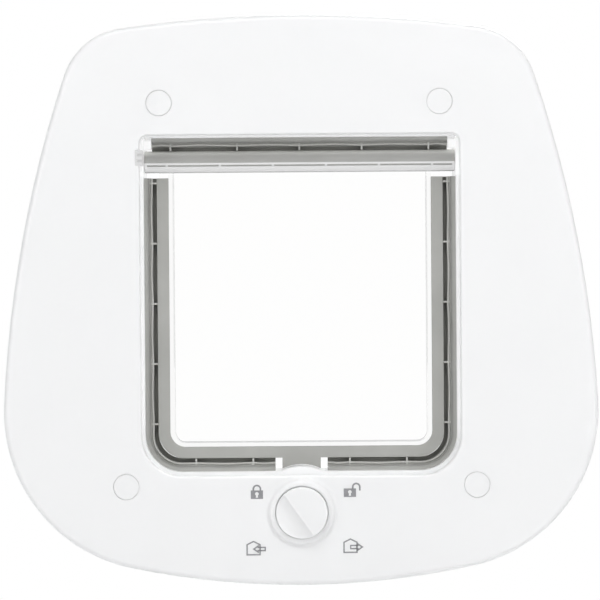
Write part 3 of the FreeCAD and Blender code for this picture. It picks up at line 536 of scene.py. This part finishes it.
bar_across = clear_tree.nodes.new("ShaderNodeCombineXYZ")
clear_tree.links.new(clear_parts["Y"], bar_across.inputs["Y"])
clear_tree.links.new(clear_parts["Z"], bar_across.inputs["Z"])
from_axis = distance(clear_tree, bar_across.outputs["Vector"], bar_axis)
# Painted shade inside the slots and a painted dark line along the bar's underside.
slot_painted_shade = rise(clear_tree, from_axis, bar_r - slot_depth, bar_r - slot_mouth, 0.02, 1.0)
edge_painted_shade = rise(clear_tree, clear_parts["Z"], bar_low, edge_top, 0.62, 0.93)
bar_painted_tone = reckon(clear_tree, "MULTIPLY", slot_painted_shade, edge_painted_shade)
bar_glow = clear_tree.nodes.new("ShaderNodeEmission")
clear_tree.links.new(bar_painted_tone, bar_glow.inputs["Color"])
bar_painted_skin = clear_tree.nodes.new("ShaderNodeBsdfDiffuse")
clear_tree.links.new(bar_painted_tone, bar_painted_skin.inputs["Color"])
# The painted light of the bar: a white skin mixed with a faint glow.
bar_painted_light = mix_shaders(clear_tree, bar_glow_share, bar_painted_skin.outputs[0], bar_glow.outputs[0])
in_bar = rise(clear_tree, clear_parts["Z"], bar_paint_from, bar_paint_full, 0.0, bar_painted_share)
bar_mix = mix_shaders(clear_tree, in_bar, clear_shader.outputs[0], bar_painted_light)
light_through = clear_tree.nodes.new("ShaderNodeBsdfTransparent")
light_through.inputs["Color"].default_value = (0.94, 0.945, 0.94, 1.0)
clear_rays = clear_tree.nodes.new("ShaderNodeLightPath").outputs
clear_mix = mix_shaders(clear_tree, clear_rays["Is Shadow Ray"], bar_mix, light_through.outputs[0])
clear_tree.links.new(clear_mix, clear_tree.nodes["Material Output"].inputs["Surface"])
finish_nodes(clear_plastic, ["flap_panel"])
print("the flap is clear")

# %% [markdown]
# A lip strip is an extruded rubber profile: a base on the tunnel wall and two thin lips that lean towards
# each other, each with a bead along its edge. The rear lip reaches further and closes the gap round the
# flap, so the gap looks dark. Small webs tie the lips at a regular pitch, and between two webs the edges
# spread a little and run in gentle waves. It could be drawn ring by ring in mesh code, but a profile that
# follows a path is what Geometry Nodes sweep well, and they lay the row of webs too.

# %% Set out the lip profile
bead_angles = (-140, -100, -60, -20, 20, 60, 90)
lip_slope = 2.4 * MM
lip_thickness = 0.9 * MM
strip_base = 1.2 * MM
strip_foot = 0.5 * MM
bead_r = 0.52 * MM
lip_spread = 0.35 * MM


def half_section(reach, front):
    """One lip, from the wall to the groove between the lips, as (distance from the wall, y, softness)."""
    bead_middle = reach - bead_r
    bead_y = front + lip_slope + 0.45 * MM
    face = bead_y + 0.15 * MM
    points = [(0.0, front, 0.0), (strip_foot, front, 0.0), (0.36 * reach, front + 0.42 * MM, 0.2)]
    points += [(0.56 * reach, front + 1.5 * MM, 0.5), (bead_middle - 0.85 * MM, face - 0.1 * MM, 0.8)]
    points.append((bead_middle - 0.5 * MM, face + 0.15 * MM, 0.9))
    for angle in bead_angles:
        turn = math.radians(angle)
        points.append((bead_middle + bead_r * math.cos(turn), bead_y + bead_r * math.sin(turn), 1.0))
    points.append((bead_middle - 0.9 * MM, bead_y + bead_r, 0.8))
    points.append((strip_base + 0.3 * MM, front + lip_thickness + 1.0 * MM, 0.2))
    points.append((strip_base, front + lip_thickness + 1.6 * MM, 0.0))
    return points


def lip_section(front_reach, rear_reach, front, rear):
    """Both lips as one closed run."""
    rear_half = [(away, front + rear - y, 0.0) for away, y, soft in half_section(rear_reach, front)]
    return half_section(front_reach, front) + rear_half[::-1]


print("lip slope", round(lip_slope / MM, 2), "mm, bead radius", round(bead_r / MM, 2), "mm")

# %% [markdown]
# The path is a fine chain of points along the wall. Each point carries how freely the lips spread there:
# not at all at a web, and most half-way between two webs. The profile is a closed chain of its own, and
# each of its points carries how soft it is, from the base on the wall to the edge of the lip.

# %% Write the path and profile helpers
path_step = 1.0 * MM
shortest_span = 8.0 * MM


def chain(name, points, closed, numbers):
    """A mesh of points and edges, with one number stored on each point under each name in numbers."""
    mesh = bpy.data.meshes.new(name)
    edges = [(index, index + 1) for index in range(len(points) - 1)]
    if closed:
        edges.append((len(points) - 1, 0))
    mesh.from_pydata(points, edges, [])
    for key, values in numbers.items():
        layer = mesh.attributes.new(key, "FLOAT", "POINT")
        layer.data.foreach_set("value", values)
    made = bpy.data.objects.new(name, mesh)
    bpy.context.scene.collection.objects.link(made)
    return made


def run(start, end):
    """Points (x, z) from start towards end, without the end."""
    steps = max(1, round((Vector(end) - Vector(start)).length / path_step))
    return [tuple(Vector(start).lerp(Vector(end), index / steps)) for index in range(steps)]


def bend(centre, radius, start, end):
    """Points on an arc from one angle to another, without the last."""
    steps = max(1, round(radius * abs(math.radians(end - start)) / path_step))
    points = []
    for index in range(steps):
        turn = math.radians(start + (end - start) * index / steps)
        points.append((centre[0] + radius * math.cos(turn), centre[1] + radius * math.sin(turn)))
    return points


def spread_between(points, webs):
    """How freely the lips spread at each point: a smooth hump from one web's place to the next."""
    lengths = [0.0]
    for first, second in zip(points, points[1:]):
        lengths.append(lengths[-1] + (Vector(second) - Vector(first)).length)
    stops = [0.0, lengths[-1]]
    for web in webs:
        gaps = [(Vector(point) - Vector(web)).length for point in points]
        stops.append(lengths[gaps.index(min(gaps))])
    stops.sort()
    spreads = []
    for length in lengths:
        spread = 0.0
        for low, high in zip(stops, stops[1:]):
            if high - low > shortest_span and low <= length <= high:
                spread = math.sin(math.pi * (length - low) / (high - low)) ** 2
        spreads.append(spread)
    return spreads


print("a point every", round(path_step / MM, 1), "mm of path")

# %% [markdown]
# Curve to Mesh carries the profile along the path. It lays the profile's X along the path's normal and its
# Y across it, and on a path that starts straight down the normal starts along X. The tree then pushes the
# soft points back towards the wall where the lips spread, and paints the result.

# %% Build the sweep tree
sweep_tree = bpy.data.node_groups.new("lip_sweep", "GeometryNodeTree")
sweep_face = sweep_tree.interface
sweep_face.new_socket("Geometry", in_out="INPUT", socket_type="NodeSocketGeometry")
sweep_face.new_socket("Profile", in_out="INPUT", socket_type="NodeSocketObject")
sweep_face.new_socket("Spread", in_out="INPUT", socket_type="NodeSocketFloat")
sweep_face.new_socket("Material", in_out="INPUT", socket_type="NodeSocketMaterial")
sweep_face.new_socket("Geometry", in_out="OUTPUT", socket_type="NodeSocketGeometry")


def add(tree, kind, **links):
    """A node of a kind, with its inputs linked by name."""
    node = tree.nodes.new(kind)
    for name, source in links.items():
        tree.links.new(source, node.inputs[name.replace("_", " ")])
    return node


sweep_in = sweep_tree.nodes.new("NodeGroupInput")
sweep_out = sweep_tree.nodes.new("NodeGroupOutput")
path_curve = add(sweep_tree, "GeometryNodeMeshToCurve", Mesh=sweep_in.outputs["Geometry"])
profile_info = add(sweep_tree, "GeometryNodeObjectInfo", Object=sweep_in.outputs["Profile"])
profile_curve = add(sweep_tree, "GeometryNodeMeshToCurve", Mesh=profile_info.outputs["Geometry"])
swept = add(sweep_tree, "GeometryNodeCurveToMesh", Curve=path_curve.outputs["Curve"],
            Profile_Curve=profile_curve.outputs["Curve"])
swept.inputs["Fill Caps"].default_value = True


def read_number(tree, name):
    """A number that is stored on the points under a name."""
    node = tree.nodes.new("GeometryNodeInputNamedAttribute")
    node.data_type = "FLOAT"
    node.inputs["Name"].default_value = name
    return node.outputs["Attribute"]


freedom = reckon(sweep_tree, "MULTIPLY", read_number(sweep_tree, "spread"), read_number(sweep_tree, "soft"))
push = reckon(sweep_tree, "MULTIPLY", freedom, sweep_in.outputs["Spread"])
away_x = reckon(sweep_tree, "MULTIPLY", push, read_number(sweep_tree, "outward_x"))
away_z = reckon(sweep_tree, "MULTIPLY", push, read_number(sweep_tree, "outward_z"))
offset = add(sweep_tree, "ShaderNodeCombineXYZ", X=away_x, Z=away_z)
moved = add(sweep_tree, "GeometryNodeSetPosition", Geometry=swept.outputs["Mesh"],
            Offset=offset.outputs["Vector"])
sweep_real = add(sweep_tree, "GeometryNodeRealizeInstances", Geometry=moved.outputs["Geometry"])
sweep_paint = add(sweep_tree, "GeometryNodeSetMaterial", Geometry=sweep_real.outputs["Geometry"],
                  Material=sweep_in.outputs["Material"])
sweep_tree.links.new(sweep_paint.outputs["Geometry"], sweep_out.inputs["Geometry"])
print("tree nodes:", len(sweep_tree.nodes))

# %% [markdown]
# The row of webs is a Geometry Nodes tree of its own: a line of points with a small block on each, made
# real and joined to the strip. Its inputs are the number of webs, the first place, the step to the next
# and a web's size, so one tree serves the wall, the floor and the roof.

# %% Build the web row tree
web_tree = bpy.data.node_groups.new("web_row", "GeometryNodeTree")
web_face = web_tree.interface
web_face.new_socket("Geometry", in_out="INPUT", socket_type="NodeSocketGeometry")
web_face.new_socket("Count", in_out="INPUT", socket_type="NodeSocketInt")
web_face.new_socket("Start", in_out="INPUT", socket_type="NodeSocketVector")
web_face.new_socket("Step", in_out="INPUT", socket_type="NodeSocketVector")
web_face.new_socket("Web Size", in_out="INPUT", socket_type="NodeSocketVector")
web_face.new_socket("Material", in_out="INPUT", socket_type="NodeSocketMaterial")
web_face.new_socket("Geometry", in_out="OUTPUT", socket_type="NodeSocketGeometry")
web_in = web_tree.nodes.new("NodeGroupInput")
web_out = web_tree.nodes.new("NodeGroupOutput")
web_line = add(web_tree, "GeometryNodeMeshLine", Count=web_in.outputs["Count"],
               Start_Location=web_in.outputs["Start"], Offset=web_in.outputs["Step"])
web_line.mode = "OFFSET"
web_block = add(web_tree, "GeometryNodeMeshCube", Size=web_in.outputs["Web Size"])
web_place = add(web_tree, "GeometryNodeInstanceOnPoints", Points=web_line.outputs["Mesh"],
                Instance=web_block.outputs["Mesh"])
web_join = web_tree.nodes.new("GeometryNodeJoinGeometry")
web_tree.links.new(web_in.outputs["Geometry"], web_join.inputs["Geometry"])
web_tree.links.new(web_place.outputs["Instances"], web_join.inputs["Geometry"])
web_real = add(web_tree, "GeometryNodeRealizeInstances", Geometry=web_join.outputs["Geometry"])
web_paint = add(web_tree, "GeometryNodeSetMaterial", Geometry=web_real.outputs["Geometry"],
                Material=web_in.outputs["Material"])
web_tree.links.new(web_paint.outputs["Geometry"], web_out.inputs["Geometry"])
print("tree nodes:", len(web_tree.nodes))

# %% [markdown]
# A tree is put on an object as a modifier, and its inputs are set by the sockets' own identifiers. When
# all modifiers are on, the evaluated result becomes the object's plain mesh and they are taken off.

# %% Write the modifier helpers
merge_gap = 1e-7
least_lean = 1e-4
sharp_from = math.radians(40)


def put_tree(strip, tree, values):
    """Adds a tree to an object with values for its named inputs."""
    modifier = strip.modifiers.new(tree.name, "NODES")
    modifier.node_group = tree
    for item in tree.interface.items_tree:
        if item.in_out == "INPUT" and item.name in values:
            modifier[item.identifier] = values[item.name]


def settle(strip):
    """Turns the modifiers' result into the strip's own mesh, with its faces outwards."""
    bpy.context.view_layer.update()
    seen = strip.evaluated_get(bpy.context.evaluated_depsgraph_get())
    mesh = bpy.data.meshes.new_from_object(seen)
    strip.modifiers.clear()
    shape = bmesh.new()
    shape.from_mesh(mesh)
    bmesh.ops.remove_doubles(shape, verts=shape.verts, dist=merge_gap)
    bmesh.ops.recalc_face_normals(shape, faces=shape.faces)
    shape.to_mesh(mesh)
    shape.free()
    strip.data = mesh
    mesh.polygons.foreach_set("use_smooth", [True] * len(mesh.polygons))
    mesh.set_sharp_from_angle(angle=sharp_from)
    return len(mesh.polygons)


print("edges stay sharp from", round(math.degrees(sharp_from)), "degrees")

# %% [markdown]
# A strip starts as its path. The profile is turned into the path's own directions first, so that its base
# lies on the wall and its lips point into the tunnel, and the sweep tree does the rest. The finished strip
# takes the place of the plain solid that the CAD model has there.

# %% Write the strip helpers


def sweep(name, points, outwards, spreads, section, middle):
    """The strip for a path of points (x, z), each with its direction towards the wall."""
    first_way = Vector((points[1][0] - points[0][0], 0.0, points[1][1] - points[0][1])).normalized()
    upright = abs(first_way.x) < least_lean
    normal = Vector((1.0, 0.0, 0.0)) if upright else Vector((0.0, -first_way.x, 0.0)).normalized()
    across = first_way.cross(normal)
    inward = Vector((-outwards[0][0], 0.0, -outwards[0][1]))
    flat = []
    for away, y, soft in section:
        place = inward * away + Vector((0.0, y - middle, 0.0))
        flat.append((place.dot(normal), place.dot(across), 0.0))
    profile = chain(name + "_profile", flat, True, {"soft": [soft for away, y, soft in section]})
    numbers = {"spread": spreads, "outward_x": [way[0] for way in outwards],
               "outward_z": [way[1] for way in outwards]}
    strip = chain(name + "_rubber", [(x, middle, z) for x, z in points], False, numbers)
    put_tree(strip, sweep_tree, {"Profile": profile, "Spread": lip_spread, "Material": strip_rubber})
    return strip, profile


def finish_strip(strip, profile, name):
    """Makes the strip a plain mesh in the place of its CAD node."""
    faces = settle(strip)
    bpy.data.objects.remove(profile)
    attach(strip, "frame")
    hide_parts(name)
    print(strip.name, "faces", faces)


print("strips keep the name and place of their solids")

# %% [markdown]
# The two side strips run down the wall, round the corner and along the floor to the lock's hump. They are
# mirror images, so one function makes both. The first web stands near the top and the others follow down
# the wall at one pitch.

# %% Make the side strips
corner_r = 17.0 * MM
web_wall = 0.8 * MM
side_front_reach = 3.95 * MM
side_rear_reach = 5.63 * MM
side_web_drop = 2.3 * MM
side_web_pitch = 27.65 * MM
side_web_count = 5
floor_webs = (22.2 * MM, 48.4 * MM)


def side_strip(name, side):
    """One side strip, on the left for side -1 and on the right for side 1."""
    low, high = [Vector(corner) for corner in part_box(name)]
    middle = (low.y + high.y) / 2
    wall = max(abs(low.x), abs(high.x))
    inner_end = min(abs(low.x), abs(high.x))
    corner = (side * (wall - corner_r), low.z + corner_r)
    start_angle, end_angle = (180, 270) if side < 0 else (0, -90)
    upright = run((side * wall, high.z), (side * wall, corner[1]))
    curve = bend(corner, corner_r, start_angle, end_angle)
    along_floor = run((corner[0], low.z), (side * inner_end, low.z)) + [(side * inner_end, low.z)]
    points = upright + curve + along_floor
    outwards = [(side, 0.0)] * len(upright)
    for x, z in curve:
        outwards.append(((x - corner[0]) / corner_r, (z - corner[1]) / corner_r))
    outwards += [(0.0, -1.0)] * len(along_floor)
    web_places = [(side * wall, high.z - side_web_drop - index * side_web_pitch)
                  for index in range(side_web_count)]
    web_places += [(side * x, low.z) for x in floor_webs]
    section = lip_section(side_front_reach, side_rear_reach, low.y, high.y)
    strip, profile = sweep(name, points, outwards, spread_between(points, web_places), section, middle)
    deep = side_rear_reach - strip_foot
    span = high.y - low.y - 2 * lip_slope
    web_x = side * (wall - strip_foot - deep / 2)
    put_tree(strip, web_tree, {"Count": side_web_count, "Start": (web_x, middle, web_places[0][1]),
                               "Step": (0.0, 0.0, -side_web_pitch), "Web Size": (deep, span, web_wall),
                               "Material": strip_rubber})
    web_z = low.z + strip_foot + deep / 2
    put_tree(strip, web_tree, {"Count": len(floor_webs), "Start": (side * floor_webs[0], middle, web_z),
                               "Step": (side * (floor_webs[1] - floor_webs[0]), 0.0, 0.0),
                               "Web Size": (web_wall, span, deep), "Material": strip_rubber})
    finish_strip(strip, profile, name)


side_strip("lip_seal_left", -1)
side_strip("lip_seal_right", 1)

# %% [markdown]
# The roof strip runs straight from one hinge block to the other. Its webs stand a little closer together
# near the middle than at the ends, so they take two rows: the two outer ones and the three between. They
# end just short of the hinge bar, which turns under them.

# %% Make the roof strip
roof_front_reach = 3.9 * MM
roof_rear_reach = 6.0 * MM
roof_web_reach = 5.7 * MM
roof_webs = (-59.2 * MM, -28.6 * MM, 0.0, 28.6 * MM, 59.2 * MM)


def roof_strip(name):
    """The strip under the tunnel's roof."""
    low, high = [Vector(corner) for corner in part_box(name)]
    middle = (low.y + high.y) / 2
    points = run((low.x, high.z), (high.x, high.z)) + [(high.x, high.z)]
    outwards = [(0.0, 1.0)] * len(points)
    spreads = spread_between(points, [(x, high.z) for x in roof_webs])
    section = lip_section(roof_front_reach, roof_rear_reach, low.y, high.y)
    strip, profile = sweep(name, points, outwards, spreads, section, middle)
    deep = roof_web_reach - strip_foot
    span = high.y - low.y - 2 * lip_slope
    web_z = high.z - strip_foot - deep / 2
    for first, count, step in ((0, 2, roof_webs[4] - roof_webs[0]), (1, 3, roof_webs[2] - roof_webs[1])):
        put_tree(strip, web_tree, {"Count": count, "Start": (roof_webs[first], middle, web_z),
                                   "Step": (step, 0.0, 0.0), "Web Size": (web_wall, span, deep),
                                   "Material": strip_rubber})
    finish_strip(strip, profile, name)


roof_strip("lip_seal_top")

# %% [markdown]
# Four grey symbols are printed round the knob: a shut padlock, an open padlock, and a house with an arrow
# into it or out of it. They are line drawings, so each is set out as closed outlines: the two sides of a
# line of even width, or a shape and the hole in it.

# %% Write the outline helpers
stroke = 0.62 * MM
mitre_limit = 0.35


def arc_points(centre, radius, start, end, steps=16):
    """Points on an arc, angles in degrees."""
    points = []
    for index in range(steps + 1):
        turn = math.radians(start + (end - start) * index / steps)
        points.append((centre[0] + radius * math.cos(turn), centre[1] + radius * math.sin(turn)))
    return points


def offset_loop(points, shift):
    """A closed outline moved to its left by a shift, with mitred corners."""
    moved = []
    count = len(points)
    for index in range(count):
        before = Vector(points[index - 1])
        here = Vector(points[index])
        after = Vector(points[(index + 1) % count])
        first = (here - before).normalized()
        second = (after - here).normalized()
        normal_first = Vector((-first.y, first.x))
        normal_second = Vector((-second.y, second.x))
        middle = (normal_first + normal_second).normalized()
        reach = shift / max(mitre_limit, middle.dot(normal_first))
        moved.append(tuple(here + middle * reach))
    return moved


def stroked(points):
    """The outer and inner outline of a line drawn round a closed shape."""
    return [offset_loop(points, stroke / 2), offset_loop(points, -stroke / 2)]


print("line width", round(stroke / MM, 2), "mm")

# %% [markdown]
# A print is a very thin layer. Blender fills the outlines of a flat curve and leaves the holes open, and
# gives it a few hundredths of a millimetre of thickness. The result is made a mesh and laid on the plate.

# %% Write the printing helper
print_height = 0.04 * MM
print_grey = moulded("print_grey", (0.27, 0.27, 0.28), (0.31, 0.31, 0.32), (0.45, 0.5), 500.0, 4000.0,
                     0.000003)


def printed(name, shapes):
    """One mesh from groups of outlines. In a group, an outline inside another is a hole."""
    joined = bmesh.new()
    for loops in shapes:
        curve = bpy.data.curves.new(name, "CURVE")
        curve.dimensions = "2D"
        curve.fill_mode = "BOTH"
        curve.extrude = print_height / 2
        for loop in loops:
            spline = curve.splines.new("POLY")
            spline.points.add(len(loop) - 1)
            for point, (x, z) in zip(spline.points, loop):
                point.co = (x, z, 0.0, 1.0)
            spline.use_cyclic_u = True
        drawn = bpy.data.objects.new(name, curve)
        mesh = bpy.data.meshes.new_from_object(drawn)
        joined.from_mesh(mesh)
        bpy.data.objects.remove(drawn)
    for vertex in joined.verts:
        x, z, lift = vertex.co
        vertex.co = (lock_axis.x + x, plate_front - print_height / 2 - lift, lock_axis.z + z)
    bmesh.ops.remove_doubles(joined, verts=joined.verts, dist=merge_gap)
    bmesh.ops.recalc_face_normals(joined, faces=joined.faces)
    mesh = bpy.data.meshes.new(name)
    joined.to_mesh(mesh)
    joined.free()
    mesh.materials.append(print_grey)
    symbol = bpy.data.objects.new(name, mesh)
    bpy.context.scene.collection.objects.link(symbol)
    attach(symbol, "frame")
    print(name, "faces", len(mesh.polygons))


print("print thickness", round(print_height / MM, 2), "mm")

# %% [markdown]
# The two padlocks above the knob share a body with a keyhole. The shut one has its shackle over the middle.
# The open one has it swung to the right, with its right leg free beside the body.

# %% Print the padlocks
body_width = 5.55 * MM
body_height = 3.85 * MM
shackle_r = 1.6 * MM
shackle_leg = 0.65 * MM
shackle_stroke = 0.75 * MM
keyhole_r = 0.85 * MM
keyhole_foot = 0.55 * MM
keyhole_rise = 0.35 * MM
keyhole_drop = 1.4 * MM
foot_sink = 0.2 * MM
free_leg = 1.6 * MM
open_shift = 2.9 * MM


def padlock(name, centre, shackle_x, right_leg):
    """A padlock at a centre, with its shackle at shackle_x and the shackle's right leg so long."""
    x, z = centre
    half = body_width / 2
    low = z - body_height / 2
    high = z + body_height / 2
    body = [(x - half, low), (x + half, low), (x + half, high), (x - half, high)]
    keyhole = arc_points((x, z + keyhole_rise), keyhole_r, -60, 240)
    keyhole += [(x - keyhole_foot, z - keyhole_drop), (x + keyhole_foot, z - keyhole_drop)]
    top = high + shackle_leg
    left_foot = high - foot_sink
    right_foot = top - right_leg
    outside = shackle_r + shackle_stroke / 2
    inside = shackle_r - shackle_stroke / 2
    shackle = [(shackle_x + outside, right_foot)] + arc_points((shackle_x, top), outside, 0, 180)
    shackle += [(shackle_x - outside, left_foot), (shackle_x - inside, left_foot)]
    shackle += arc_points((shackle_x, top), inside, 180, 0) + [(shackle_x + inside, right_foot)]
    printed(name, [[body, keyhole], [shackle]])


shut_place = (-20.4 * MM, 8.1 * MM)
open_place = (21.8 * MM, 8.7 * MM)
padlock("symbol_shut", shut_place, shut_place[0], shackle_leg + foot_sink)
padlock("symbol_open", open_place, open_place[0] + open_shift, free_leg)

# %% [markdown]
# The two houses below the knob are drawn in line, and an outlined arrow crosses a wall: into the house on
# the left, out of it on the right.

# %% Print the houses
house_half = 2.93 * MM
house_wall = 4.6 * MM
house_peak = 6.05 * MM
arrow_half = 0.72 * MM
head_half = 1.35 * MM
head_length = 2.0 * MM


def house(name, x, base, tip_x, tail_x, arrow_z):
    """A gabled house outline with an outlined arrow from tail_x to tip_x across its wall."""
    walls = [(x - house_half, base), (x + house_half, base), (x + house_half, base + house_wall)]
    walls += [(x, base + house_peak), (x - house_half, base + house_wall)]
    way = 1 if tip_x > tail_x else -1
    neck = tip_x - way * head_length
    arrow = [(tail_x, arrow_z - arrow_half), (neck, arrow_z - arrow_half), (neck, arrow_z - head_half)]
    arrow += [(tip_x, arrow_z), (neck, arrow_z + head_half), (neck, arrow_z + arrow_half)]
    arrow.append((tail_x, arrow_z + arrow_half))
    printed(name, [stroked(walls), stroked(arrow)])


house("symbol_in", -22.1 * MM, -19.2 * MM, -22.0 * MM, -16.8 * MM, -16.6 * MM)
house("symbol_out", 21.9 * MM, -18.4 * MM, 27.3 * MM, 22.0 * MM, -16.0 * MM)
